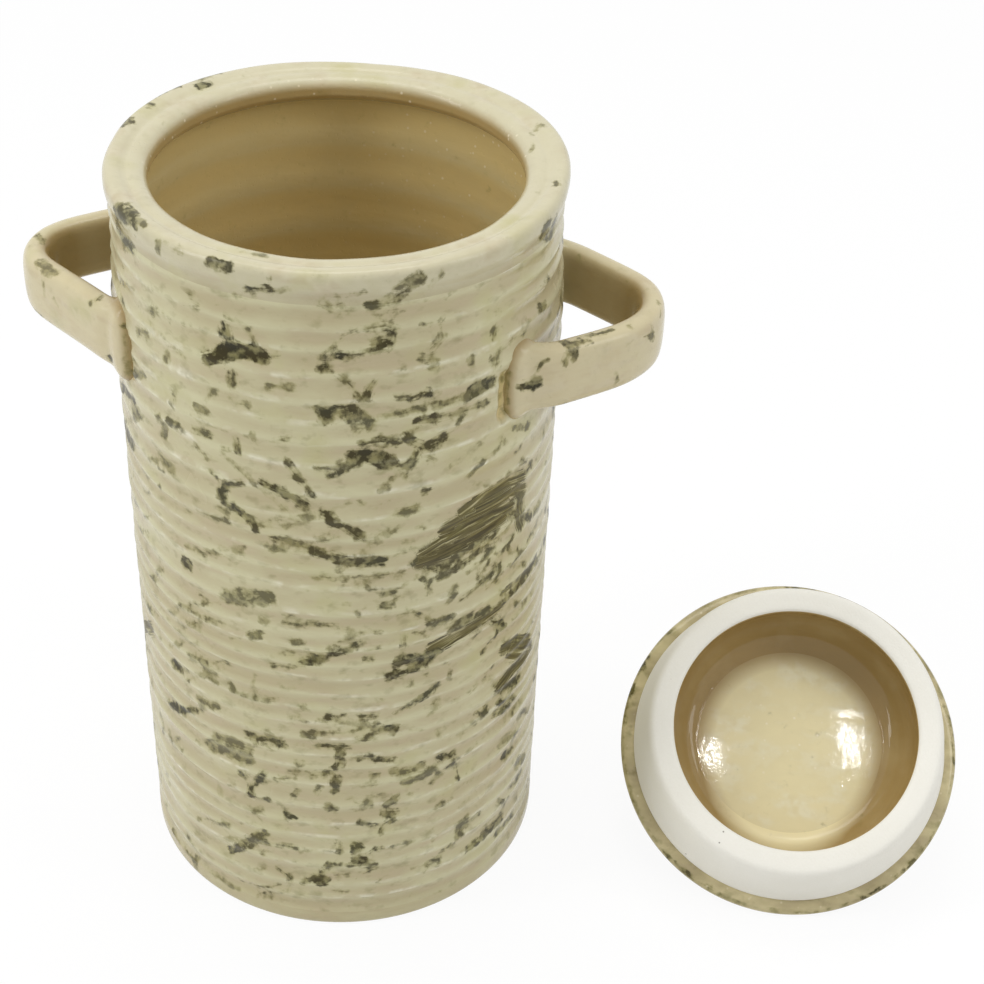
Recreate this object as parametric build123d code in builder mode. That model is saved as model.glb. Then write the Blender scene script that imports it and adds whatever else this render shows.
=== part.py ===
import os
from math import asin, atan2, cos, degrees, pi, radians, sin, tan
from build123d import *

os.makedirs("parts", exist_ok=True)

# Olive jar of thrown and glazed stoneware, in millimetres: a straight jar with two strap handles,
# and its loose lid, which lies upside down beside it. +Z is up, the origin is the middle of the
# foot on the table, and the handles point along +X and -X.

# Jar body
jar_height = 261.0
jar_radius = 69.9                 # over the throwing rings, at the widest
wall_lean = 0.9                   # how much narrower the jar is at its foot
draw_in = 1.5                     # how much the wall is drawn in below the rim
draw_in_start_share = 0.83        # where that starts and ends, as shares of the jar's height
draw_in_end_share = 0.93
wall_thickness = 6.8              # over the widest rings
floor_thickness = 7.0
foot_edge_width = 4.0             # the flat foot stands back this far inside the wall
foot_round_height = 4.2           # how high the rounded foot edge climbs
inside_cove_radius = 8.0          # hollow corner between the floor and the wall, inside
inside_foot_thickening = 1.2      # the wall is thicker near the floor

# Throwing rings: the crests that a potter's knuckle leaves, as shares of the jar's height
ring_depth = 0.75
ring_crest_shares = (
    0.0545, 0.0790, 0.1150, 0.1425, 0.1915, 0.2222, 0.2635, 0.2910, 0.3395, 0.3670,
    0.4140, 0.4405, 0.4860, 0.5110, 0.5440, 0.5830, 0.6070, 0.6550, 0.6845, 0.7190,
    0.7610, 0.7895, 0.8170, 0.8425, 0.8750, 0.9050, 0.9575,
)
groove_depth_shares = (1.0, 0.7, 0.95, 0.6, 0.85, 0.75, 1.0)

# Mouth rim: the thick rolled collar with an undercut below its inner lip
rim_height = 10.4
rim_roll_inset = 0.85             # the roll stands this far inside the widest rings
rim_neck_height = 2.6             # straight neck between the wall's top and the roll
rim_flare_height = 6.2            # where the roll is fully wide, above the wall's top
rim_edge_width = 2.0              # rounding of the roll's outer top edge
rim_edge_height = 2.0
rim_slope_drop = 0.6              # fall of the top from the crown towards the lip
lip_overhang = 6.1                # how far the lip stands in past the wall's inside
lip_land_height = 6.6             # straight part of the lip's inner face
lip_foot_round = 0.8              # rounding under the lip
lip_round_width = 2.8             # rounding over the lip
lip_round_height = 2.4

# Handles: straps on edge, bent to a loop in plan and pressed on the wall at both ends
strap_height = 21.2
strap_thickness = 8.8
strap_edge_round = 3.3
strap_bury = 3.6                  # how deep the strap's ends run into the wall before they are cut
right_handle_drop = 49.7          # from the jar's top down to the strap's middle
right_handle_stand = 26.9         # from the wall to the strap's middle at the tip
right_handle_half_width = 32.6
right_shoulder_inset = 2.9        # the loop bends in this far inside the line of the wall
right_tip_half_width = 10.4
left_handle_drop = 48.1
left_handle_stand = 25.5
left_handle_half_width = 33.4
left_shoulder_inset = 7.6
left_tip_half_width = 8.6
left_tip_offset = 1.2             # the left loop's tip sits this far towards the back
shoulder_bend_share = 0.8         # share of the run from the wall that the first bend takes
tip_bend_share = 0.97             # share of half of the tip's run that each of its bends takes

# Tabs: the thumbed ends of the straps, flat on the wall
tab_width = 15.0
tab_height = 25.0
tab_corner = 5.0
tab_spread = 2.0                  # the tab's middle lies this far outside the strap's
tab_lift = 3.6                    # over the throwing rings
tab_taper = 12.0

# Lid, measured on its own axis from the plane under its brim, the flange side positive
brim_overlap = 3.4                # how far the brim reaches over the mouth's lip
brim_round = 2.3                  # half of the brim's thickness
lid_lean = 34.5                   # the flange side leans to the front
lid_gap = 30.9                    # between the jar's wall and the brim, along X
lid_place_y = 8.0
lid_floor_rise = 6.0              # the dish's floor, above the plane under the brim
lid_floor_inset = 9.5             # the flat floor is this much narrower than the flange's mouth
lid_crown_thickness = 8.6         # from the plane under the brim to the top at the knob
lid_crown_sag = 1.6               # how far the top bulges over a straight cone
flange_clearance = 1.3            # loose fit of the flange in the mouth
flange_height = 28.0
flange_taper = 4.7                # the flange is this much narrower at its edge
flange_foot_land = 1.5
flange_shoulder = 2.2             # rounding of the outer top edge
flange_face_width = 8.7           # flat face of its edge, with both roundings
flange_hollow_swell = 1.1         # the dish is a little wider below its edge
flange_hollow_height = 20.0       # where it is widest
flange_lip_round = 1.2
flange_cove_rise = 6.4            # from the dish's floor up to the steep part of its side
flange_cove_inset = 1.7

# Knob, on the lid's axis
knob_foot_radius = 12.0
knob_neck_radius = 10.0
knob_neck_drop = 6.0
knob_radius = 17.0
knob_edge_round = 5.0

foot_wall_radius = jar_radius - wall_lean
foot_face_radius = foot_wall_radius - foot_edge_width
wall_top = jar_height - rim_height
wall_inside_radius = jar_radius - wall_thickness
lip_radius = wall_inside_radius - lip_overhang
flange_foot_radius = lip_radius - flange_clearance
flange_top_radius = flange_foot_radius - flange_taper
flange_mouth_radius = flange_top_radius - flange_face_width
lid_floor_radius = flange_mouth_radius - lid_floor_inset
lid_brim_radius = lip_radius + brim_overlap


def crest_radius(height):
    """Over the throwing rings: slightly wider upwards, then drawn in softly below the rim."""
    share = height / jar_height
    drawn = (share - draw_in_start_share) / (draw_in_end_share - draw_in_start_share)
    drawn = min(max(drawn, 0), 1)
    return foot_wall_radius + wall_lean * share - draw_in * drawn**2 * (3 - 2 * drawn)


def outside_points():
    """Crests and grooves of the wall's outside, from the floor piece up to the rim."""
    heights = [share * jar_height for share in ring_crest_shares]
    points = [(crest_radius(floor_thickness), floor_thickness)]
    below = floor_thickness
    for number, height in enumerate(heights):
        depth = ring_depth * groove_depth_shares[number % len(groove_depth_shares)]
        middle = (below + height) / 2
        points.append((crest_radius(middle) - depth, middle))
        points.append((crest_radius(height), height))
        below = height
    points.append((crest_radius(wall_top) - ring_depth / 4, wall_top))
    return points


# Floor: a flat disc that closes the jar, with a rounded edge and a bare foot
with BuildPart() as jar_floor:
    with BuildSketch(Plane.XZ):
        with BuildLine():
            edge_radius = crest_radius(floor_thickness)
            base = Line((0, 0), (foot_face_radius, 0))
            foot_round = ThreePointArc(
                base @ 1,
                (
                    foot_face_radius + (edge_radius - foot_face_radius) * cos(radians(45)),
                    foot_round_height * (1 - sin(radians(45))),
                ),
                (edge_radius, foot_round_height),
            )
            Polyline(foot_round @ 1, (edge_radius, floor_thickness), (0, floor_thickness), (0, 0))
        make_face()
    revolve(axis=Axis.Z)
jar_floor.part.label = "jar_floor"
export_step(jar_floor.part, "parts/jar_floor.step")

# Wall: the thrown tube, ringed outside, smooth inside with a cove down to the floor
with BuildPart() as jar_wall:
    with BuildSketch(Plane.XZ):
        with BuildLine():
            rings = outside_points()
            inside_foot_radius = wall_inside_radius - inside_foot_thickening
            outside = Polyline(*rings)
            top = Line(outside @ 1, (wall_inside_radius, wall_top))
            side = Line(top @ 1, (inside_foot_radius, floor_thickness + inside_cove_radius))
            cove = ThreePointArc(
                side @ 1,
                (
                    inside_foot_radius - inside_cove_radius * (1 - cos(radians(45))),
                    floor_thickness + inside_cove_radius * (1 - sin(radians(45))),
                ),
                (inside_foot_radius - inside_cove_radius, floor_thickness),
            )
            Line(cove @ 1, outside @ 0)
        make_face()
    revolve(axis=Axis.Z)
jar_wall.part.label = "jar_wall"
export_step(jar_wall.part, "parts/jar_wall.step")

# Rim: a rolled collar whose lip overhangs the inside of the wall
with BuildPart() as mouth_rim:
    with BuildSketch(Plane.XZ):
        with BuildLine():
            seat_radius = rings[-1][0]
            roll_radius = jar_radius - rim_roll_inset
            crown_radius = roll_radius - rim_edge_width
            neck = Polyline(
                (wall_inside_radius, wall_top),
                (seat_radius, wall_top),
                (crest_radius(wall_top), wall_top + rim_neck_height),
                (roll_radius, wall_top + rim_flare_height),
                (roll_radius, jar_height - rim_edge_height),
            )
            roll = ThreePointArc(
                neck @ 1,
                (
                    crown_radius + rim_edge_width * cos(radians(45)),
                    jar_height - rim_edge_height * (1 - sin(radians(45))),
                ),
                (crown_radius, jar_height),
            )
            lip_edge = jar_height - rim_slope_drop
            slope = Line(roll @ 1, (lip_radius + lip_round_width, lip_edge))
            lip = ThreePointArc(
                slope @ 1,
                (
                    lip_radius + lip_round_width * (1 - cos(radians(45))),
                    lip_edge - lip_round_height * (1 - sin(radians(45))),
                ),
                (lip_radius, lip_edge - lip_round_height),
            )
            land = Line(lip @ 1, (lip_radius, lip_edge - lip_round_height - lip_land_height))
            Polyline(land @ 1, (lip_radius + lip_foot_round, wall_top), (wall_inside_radius, wall_top))
        make_face()
    revolve(axis=Axis.Z)
mouth_rim.part.label = "mouth_rim"
export_step(mouth_rim.part, "parts/mouth_rim.step")


def strap_root(half_width):
    """Where a strap starts, buried in the wall by strap_bury."""
    return ((jar_radius - strap_bury) ** 2 - half_width**2) ** 0.5


def tab_angle(half_width):
    """From the handle's middle to the tab's middle, round the jar, in degrees."""
    return degrees(asin((half_width + tab_spread) / jar_radius))


def loop_bends(root, shoulder, tip, half_width, tip_half_width):
    """Radii of a loop's four bends, from the runs beside them."""
    turn = atan2(half_width - tip_half_width, tip - shoulder)
    shoulder_bend = shoulder_bend_share * (shoulder - root) / tan(turn / 2)
    tip_bend = tip_bend_share * tip_half_width / tan(pi / 4 - turn / 2)
    return [shoulder_bend, tip_bend, tip_bend, shoulder_bend]


# Right handle: the strap's loop, its two thumbed tabs, and the wall's rings pressed into both
with BuildPart() as right_handle:
    right_height = jar_height - right_handle_drop
    with BuildLine(Plane.XY.offset(right_height)) as right_loop:
        right_root = strap_root(right_handle_half_width)
        right_shoulder = jar_radius - right_shoulder_inset
        right_tip = jar_radius + right_handle_stand
        FilletPolyline(
            (right_root, -right_handle_half_width),
            (right_shoulder, -right_handle_half_width),
            (right_tip, -right_tip_half_width),
            (right_tip, right_tip_half_width),
            (right_shoulder, right_handle_half_width),
            (right_root, right_handle_half_width),
            radius=loop_bends(
                right_root, right_shoulder, right_tip, right_handle_half_width, right_tip_half_width
            ),
        )
    with BuildSketch(Plane(right_loop.line @ 0, x_dir=(0, 1, 0), z_dir=right_loop.line % 0)):
        RectangleRounded(strap_thickness, strap_height, strap_edge_round)
    sweep(path=right_loop.line)
    right_tab_angle = tab_angle(right_handle_half_width)
    for angle in (-right_tab_angle, right_tab_angle):
        tab_direction = Vector(1, 0, 0).rotate(Axis.Z, angle)
        tab_foot = tab_direction * (jar_radius - strap_bury) + Vector(0, 0, right_height)
        with BuildSketch(Plane(tab_foot, x_dir=Vector(0, 1, 0).rotate(Axis.Z, angle), z_dir=tab_direction)):
            RectangleRounded(tab_width, tab_height, tab_corner)
        extrude(amount=strap_bury + tab_lift, taper=tab_taper)
    add(jar_wall.part, mode=Mode.SUBTRACT)
right_handle.part.label = "right_handle"
export_step(right_handle.part, "parts/right_handle.step")

# Left handle: the same strap, a little higher, wider at its roots and with a sharper bend
with BuildPart() as left_handle:
    left_height = jar_height - left_handle_drop
    with BuildLine(Plane.XY.offset(left_height)) as left_loop:
        left_root = strap_root(left_handle_half_width)
        left_shoulder = jar_radius - left_shoulder_inset
        left_tip = jar_radius + left_handle_stand
        FilletPolyline(
            (-left_root, -left_handle_half_width),
            (-left_shoulder, -left_handle_half_width),
            (-left_tip, left_tip_offset - left_tip_half_width),
            (-left_tip, left_tip_offset + left_tip_half_width),
            (-left_shoulder, left_handle_half_width),
            (-left_root, left_handle_half_width),
            radius=loop_bends(
                left_root, left_shoulder, left_tip, left_handle_half_width, left_tip_half_width
            ),
        )
    with BuildSketch(Plane(left_loop.line @ 0, x_dir=(0, 1, 0), z_dir=left_loop.line % 0)):
        RectangleRounded(strap_thickness, strap_height, strap_edge_round)
    sweep(path=left_loop.line)
    left_tab_angle = tab_angle(left_handle_half_width)
    for angle in (180 - left_tab_angle, 180 + left_tab_angle):
        tab_direction = Vector(1, 0, 0).rotate(Axis.Z, angle)
        tab_foot = tab_direction * (jar_radius - strap_bury) + Vector(0, 0, left_height)
        with BuildSketch(Plane(tab_foot, x_dir=Vector(0, 1, 0).rotate(Axis.Z, angle), z_dir=tab_direction)):
            RectangleRounded(tab_width, tab_height, tab_corner)
        extrude(amount=strap_bury + tab_lift, taper=tab_taper)
    add(jar_wall.part, mode=Mode.SUBTRACT)
left_handle.part.label = "left_handle"
export_step(left_handle.part, "parts/left_handle.step")

# The lid lies upside down and leans back on its knob, so its lowest points are the brim's front
# edge and the knob's rounded edge. Both touch the table at height zero.
lean_sin = sin(radians(lid_lean))
lean_cos = cos(radians(lid_lean))
lid_height = (lid_brim_radius - brim_round) * lean_sin + brim_round * lean_cos + brim_round
knob_edge_radius = knob_radius - knob_edge_round
knob_edge_drop = (lid_height - knob_edge_radius * lean_sin - knob_edge_round) / lean_cos
lid_origin = Vector(jar_radius + lid_gap + lid_brim_radius, lid_place_y, lid_height)
lid_axis = Axis(lid_origin, (0, -lean_sin, lean_cos))
lid_section = Plane(lid_origin, x_dir=(1, 0, 0), z_dir=(0, -lean_cos, -lean_sin))
crown = -lid_crown_thickness

# Lid dome: a low cap with a brim that sits on the jar's rim, and a raised floor inside the flange
with BuildPart() as lid_dome:
    with BuildSketch(lid_section):
        with BuildLine():
            brim_middle = lid_brim_radius - brim_round
            under = Polyline(
                (0, crown),
                (0, lid_floor_rise),
                (lid_floor_radius, lid_floor_rise),
                (lid_floor_radius, 0),
                (brim_middle, 0),
            )
            brim = ThreePointArc(under @ 1, (lid_brim_radius, -brim_round), (brim_middle, -2 * brim_round))
            cone_radius = (brim_middle + knob_foot_radius) / 2
            cone_height = (crown - 2 * brim_round) / 2
            cap = ThreePointArc(brim @ 1, (cone_radius, cone_height - lid_crown_sag), (knob_foot_radius, crown))
            Line(cap @ 1, under @ 0)
        make_face()
    revolve(axis=lid_axis)
lid_dome.part.label = "lid_dome"
export_step(lid_dome.part, "parts/lid_dome.step")

# Lid flange: the bare ring that drops into the mouth, conical outside, hollowed to a dish inside
with BuildPart() as lid_flange:
    with BuildSketch(lid_section):
        with BuildLine():
            outer = Polyline(
                (lid_floor_radius, 0),
                (flange_foot_radius, 0),
                (flange_foot_radius, flange_foot_land),
                (flange_top_radius, flange_height - flange_shoulder),
            )
            shoulder = ThreePointArc(
                outer @ 1,
                (
                    flange_top_radius - flange_shoulder * (1 - cos(radians(45))),
                    flange_height - flange_shoulder * (1 - sin(radians(45))),
                ),
                (flange_top_radius - flange_shoulder, flange_height),
            )
            face = Line(shoulder @ 1, (flange_mouth_radius + flange_lip_round, flange_height))
            lip_turn = ThreePointArc(
                face @ 1,
                (
                    flange_mouth_radius + flange_lip_round * (1 - cos(radians(45))),
                    flange_height - flange_lip_round * (1 - sin(radians(45))),
                ),
                (flange_mouth_radius, flange_height - flange_lip_round),
            )
            bowl = Spline(
                lip_turn @ 1,
                (flange_mouth_radius + flange_hollow_swell, flange_hollow_height),
                (flange_mouth_radius - flange_cove_inset, lid_floor_rise + flange_cove_rise),
                (lid_floor_radius, lid_floor_rise),
                tangents=[(0, -1), (-1, 0)],
            )
            Line(bowl @ 1, outer @ 0)
        make_face()
    revolve(axis=lid_axis)
lid_flange.part.label = "lid_flange"
export_step(lid_flange.part, "parts/lid_flange.step")

# Lid knob: a turned grip with a narrow neck, on which the upturned lid leans
with BuildPart() as lid_knob:
    with BuildSketch(lid_section):
        with BuildLine():
            knob_top = -(knob_edge_drop + knob_edge_round)
            seat = Line((0, crown), (knob_foot_radius, crown))
            throat = Spline(
                seat @ 1,
                (knob_neck_radius, crown - knob_neck_drop),
                (knob_radius, -knob_edge_drop),
                tangents=[(-1, -1), (0, -1)],
            )
            knob_edge = ThreePointArc(
                throat @ 1,
                (
                    knob_edge_radius + knob_edge_round * cos(radians(45)),
                    -knob_edge_drop - knob_edge_round * sin(radians(45)),
                ),
                (knob_edge_radius, knob_top),
            )
            Polyline(knob_edge @ 1, (0, knob_top), (0, crown))
        make_face()
    revolve(axis=lid_axis)
lid_knob.part.label = "lid_knob"
export_step(lid_knob.part, "parts/lid_knob.step")
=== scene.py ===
import math
import random

import bmesh
import bpy
import numpy as np
from mathutils import Matrix, Vector


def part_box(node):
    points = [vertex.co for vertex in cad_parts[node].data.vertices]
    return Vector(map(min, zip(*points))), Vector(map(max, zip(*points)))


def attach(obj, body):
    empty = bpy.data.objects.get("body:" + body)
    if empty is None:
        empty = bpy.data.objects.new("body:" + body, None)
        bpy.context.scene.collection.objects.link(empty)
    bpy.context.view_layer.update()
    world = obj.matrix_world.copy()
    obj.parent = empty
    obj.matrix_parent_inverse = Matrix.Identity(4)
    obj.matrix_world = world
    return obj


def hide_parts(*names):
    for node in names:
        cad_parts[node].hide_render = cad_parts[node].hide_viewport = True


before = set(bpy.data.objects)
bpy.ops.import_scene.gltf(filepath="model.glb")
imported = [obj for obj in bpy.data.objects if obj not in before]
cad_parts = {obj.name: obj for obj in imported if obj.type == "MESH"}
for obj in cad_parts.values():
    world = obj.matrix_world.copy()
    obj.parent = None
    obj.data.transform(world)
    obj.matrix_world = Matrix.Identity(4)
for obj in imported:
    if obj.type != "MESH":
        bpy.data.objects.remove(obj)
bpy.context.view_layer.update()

# Camera: it stands in front of the jar and a little to the right, and looks down into the mouth,
# as in the photograph. The picture is square.
picture_width = 984
focal_length = 1940               # in pixels of that picture


def placed(name, data):
    """A new object in the scene."""
    made = bpy.data.objects.new(name, data)
    bpy.context.scene.collection.objects.link(made)
    return made


camera_data = bpy.data.cameras.new("camera")
camera_data.sensor_width = 36
camera_data.lens = camera_data.sensor_width * focal_length / picture_width
camera_place = (0.09975, -0.5132, 0.5257)
camera_turn = math.radians(5.5)
camera_tip = math.radians(36.57)
camera_roll = math.radians(2.51)
camera = placed("camera", camera_data)
camera.matrix_world = (
    Matrix.Translation(camera_place)
    @ Matrix.Rotation(camera_turn, 4, "Z")
    @ Matrix.Rotation(math.pi / 2 - camera_tip, 4, "X")
    @ Matrix.Rotation(camera_roll, 4, "Z")
)
bpy.context.scene.camera = camera

# Jar wall: the thrown stoneware tube. A knuckle left a crest at every turn, and the cream glaze lies
# thin on the crests and thick in the grooves. Dark marks were brushed under the glaze.
mm = 0.001
wall_low, wall_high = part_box("jar_wall")
wall_foot = wall_low[2] / mm
wall_top = wall_high[2] / mm
jar_height = 261
foot_radius = 69
wall_lean = 0.9
draw_in = 1.5
draw_in_start, draw_in_run = 0.83, 0.1          # as shares of the jar's height
bore_radius = 63.1
bore_foot_radius = 61.9
bore_cove = 8
crest_heights = (
    14.2, 20.6, 30, 37.2, 43.8, 50, 58, 68.8, 76, 81.8, 88.6, 95.8, 101.8, 108, 115, 120.6,
    126.8, 133.4, 141.5, 152.2, 158.4, 165.2, 171, 178.6, 187.6, 198.6, 206, 213.2, 219.8, 228.4,
    236.2, 242.4, 250,
)
groove_depths = (0.75, 0.5, 0.7, 0.45, 0.6, 0.55, 0.8, 0.65)
ring_wander = 0.9
inside_ring_pitch = 7.7
inside_ring_depth = 0.7
front_steps, back_steps = 286, 96
skin_reach = 67                                 # what lies further out is the jar's outside


def held(values):
    """Kept between 0 and 1."""
    return np.clip(values, 0, 1)


def eased(values):
    """Kept between 0 and 1, with a soft start and end."""
    share = held(values)
    return share**2 * (3 - 2 * share)


def crest_radius(height):
    """Over the throwing rings: slightly wider upwards, then drawn in softly below the rim."""
    share = np.asarray(height) / jar_height
    return foot_radius + wall_lean * share - draw_in * eased((share - draw_in_start) / draw_in_run)


def turned(outline, cuts, front, back):
    """A form turned round Z from an outline of (radius, height) corners in millimetres. cuts says how
    often each run of the outline is cut, front and back how many steps each half turn takes."""
    form = bmesh.new()
    corners = [form.verts.new((radius * mm, 0, height * mm)) for radius, height in outline]
    runs = [form.edges.new(pair) for pair in zip(corners, corners[1:])]
    for run, count in zip(runs, cuts):
        if count:
            bmesh.ops.subdivide_edges(form, edges=[run], cuts=count)
    profile = form.verts[:] + form.edges[:]
    for sweep, steps in ((-math.pi, front), (math.pi, back)):
        bmesh.ops.spin(form, geom=profile, cent=(0, 0, 0), axis=(0, 0, 1), angle=sweep, steps=steps)
    bmesh.ops.remove_doubles(form, verts=form.verts, dist=0.005 * mm)
    return form


def waver(angle, height, seed):
    """A slow unevenness between -1 and 1 that closes round the jar."""
    rolls = random.Random(seed)
    total = 0
    for turns in (1, 2, 3, 5, 8, 13):
        total = total + np.sin(turns * angle + height * rolls.uniform(0.01, 0.09) + rolls.uniform(0, 6.3)) / 5
    return total


def groove_depth(angle, height):
    """How deep the outside lies under the crests, in millimetres."""
    crests = np.array((wall_foot,) + crest_heights + (wall_top + 4,))
    shifted = height + ring_wander * waver(angle, height, 3)
    ring = np.clip(np.searchsorted(crests, shifted) - 1, 0, len(crests) - 2)
    share = held((shifted - crests[ring]) / (crests[ring + 1] - crests[ring]))
    depths = np.array([groove_depths[number % len(groove_depths)] for number in range(len(crests))])
    uneven = 1.15 + 0.5 * waver(angle, height, 8)
    return depths[ring] * uneven * np.sin(math.pi * share) ** 0.8


def rows_of(mesh, name):
    """The vertices' places ("co") or directions ("normal") as rows of three."""
    flat = np.empty(len(mesh.vertices) * 3)
    mesh.vertices.foreach_get(name, flat)
    return flat.reshape(-1, 3)


def places_of(mesh):
    return rows_of(mesh, "co") / mm


def around(places):
    """How far places are from the Z axis, and their angle round it."""
    return np.hypot(places[:, 0], places[:, 1]), np.arctan2(places[:, 1], places[:, 0])


def set_places(mesh, places):
    mesh.vertices.foreach_set("co", (places * mm).ravel())
    mesh.update()


def store(mesh, **columns):
    """Keeps one number, or a row of three, for each vertex, under the name it's given by."""
    for name, values in columns.items():
        kind, slot = ("FLOAT", "value") if values.ndim == 1 else ("FLOAT_VECTOR", "vector")
        layer = mesh.attributes.new(name, kind, "POINT")
        layer.data.foreach_set(slot, values.astype(np.float32).ravel())


def mesh_object(form, name):
    """The form as a smooth-shaded object with its faces outwards."""
    bmesh.ops.recalc_face_normals(form, faces=form.faces)
    for face in form.faces:
        face.smooth = True
    mesh = bpy.data.meshes.new(name)
    form.to_mesh(mesh)
    form.free()
    mesh.set_sharp_from_angle(angle=math.radians(50))
    return placed(name, mesh)


wall_radius = 69.5                              # half way up
mark_step = 4                                   # degrees
brush_spread = 1.25


def round_jar(marks):
    """Marks drawn as degrees round the jar and millimetres over the table, as strokes in space."""
    strokes = []
    for width, strength, *points in marks:
        points = np.array(points)
        path = []
        for start, end in zip(points, points[1:]):
            pieces = max(1, round(abs(end[0] - start[0]) / mark_step))
            path += [start + (end - start) * (piece / pieces) for piece in range(pieces)]
        angle, height = np.transpose(path + [points[-1]])
        here = np.radians(angle)
        path = np.stack((wall_radius * np.cos(here), wall_radius * np.sin(here), height), axis=1)
        strokes.append((width * brush_spread, strength, path))
    return strokes


soft_edge = 1.2
broad_from, broad_over = 4.7, 0.6
long_from = 16


def brush(mesh, strokes):
    """Lays strokes on a mesh. ink is 0.5 at a stroke's edge and 1 well inside it, dark is the stroke's
    strength, comb tells the long broad ones, and bristle says how far along and across the brush a
    place is. Where strokes cross, the one with more ink wins."""
    places = places_of(mesh)
    normals = rows_of(mesh, "normal")
    ink, dark, comb = np.zeros((3, len(places)))
    bristle = np.zeros((len(places), 3))
    for number, (width, strength, path) in enumerate(strokes):
        travelled = 0
        path = np.array(path)
        broad = min(1, max(0, (width - broad_from) / broad_over))
        drawn_out = sum(math.dist(*ends) for ends in zip(path, path[1:])) > long_from
        for start, end in zip(path, path[1:]):
            reach = end - start
            length = max(np.linalg.norm(reach), 0.01)
            low = np.minimum(start, end) - width / 2 - soft_edge
            high = np.maximum(start, end) + width / 2 + soft_edge
            near = np.nonzero(np.all((places > low) & (places < high), axis=1))[0]
            offset = places[near] - start
            along = np.clip(offset @ reach / length, 0, length)
            gap = offset - along[:, None] * reach / length
            laid = held(0.5 + (width / 2 - np.linalg.norm(gap, axis=1)) / (2 * soft_edge))
            across = np.sum(gap * np.cross(reach / length, normals[near]), axis=1)
            wins = laid > ink[near]
            won = near[wins]
            ink[won] = laid[wins]
            dark[won] = strength
            comb[won] = broad * drawn_out
            bristle[won] = np.stack(
                [along[wins] + travelled, across[wins], np.full(len(won), number * 5.3)], axis=1
            )
            travelled += length
    store(mesh, ink=ink, dark=dark, comb=comb, bristle=bristle)


def tone(red, green, blue):
    """A screen colour from 0 to 255 as the linear colour of a material."""
    shares = [value / 255 for value in (red, green, blue)]
    return tuple(s / 12.92 if s <= 0.04045 else ((s + 0.055) / 1.055) ** 2.4 for s in shares) + (1,)


class Flow:
    """One output in a material's node tree. Arithmetic on it adds Math nodes."""

    def __init__(self, tree, socket=None):
        self.tree = tree
        self.socket = socket

    def node(self, kind, settings=None, values=None, output=0):
        made = self.tree.nodes.new(kind)
        for name, setting in (settings or {}).items():
            setattr(made, name, setting)
        for name, value in (values or {}).items():
            if isinstance(value, Flow):
                self.tree.links.new(value.socket, made.inputs[name])
            else:
                made.inputs[name].default_value = value
        return Flow(self.tree, made.outputs[output] if made.outputs else None)

    def math(self, operation, *terms):
        return self.node("ShaderNodeMath", {"operation": operation}, dict(enumerate(terms)))

    def __add__(self, other):
        return self.math("ADD", self, other)

    __radd__ = __add__

    def __sub__(self, other):
        return self.math("SUBTRACT", self, other)

    def __rsub__(self, other):
        return self.math("SUBTRACT", other, self)

    def __mul__(self, other):
        return self.math("MULTIPLY", self, other)

    __rmul__ = __mul__

    def held(self):
        """Kept between 0 and 1."""
        return self.node("ShaderNodeClamp", values={0: self})

    def mixed(self, first, second):
        """Colours mixed by this share, first at 0."""
        return self.node("ShaderNodeMix", {"data_type": "RGBA"}, {0: self, 6: first, 7: second}, 2)


def new_paint(name):
    """An empty material, and the start of its node tree."""
    material = bpy.data.materials.new(name)
    material.use_nodes = True
    material.node_tree.nodes.clear()
    return material, Flow(material.node_tree)


def clouds(start, place, scale, detail=2):
    return start.node("ShaderNodeTexNoise", values={"Vector": place, "Scale": scale, "Detail": detail})


def cells(start, place, scale):
    """How far a place is from the nearest of many scattered points."""
    return start.node("ShaderNodeTexVoronoi", {"feature": "F1"}, {"Vector": place, "Scale": scale})


def own_place(start):
    return start.node("ShaderNodeTexCoord", output=3)


def stretched(start, place, factors):
    return start.node("ShaderNodeVectorMath", {"operation": "MULTIPLY"}, {0: place, 1: factors})


def attribute(start, name, output=2):
    return start.node("ShaderNodeAttribute", {"attribute_name": name}, output=output)


# The last of these three tones is a painted highlight for the crests; the other two are the glaze's own
# patches.
pinkish, greenish, painted_highlight_tone = tone(198, 183, 152), tone(192, 186, 136), tone(242, 239, 216)
thin_inks = tone(104, 95, 26), tone(98, 92, 36)
full_inks = tone(54, 45, 4), tone(36, 33, 6)
combed_inks = tone(112, 102, 56), tone(58, 48, 16)
# The last of these three tones is the colour of painted glints: small pale dots of painted reflection.
halo_tone, dirt_tone, painted_glint_tone = tone(152, 146, 88), tone(122, 116, 66), tone(244, 234, 206)


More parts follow.
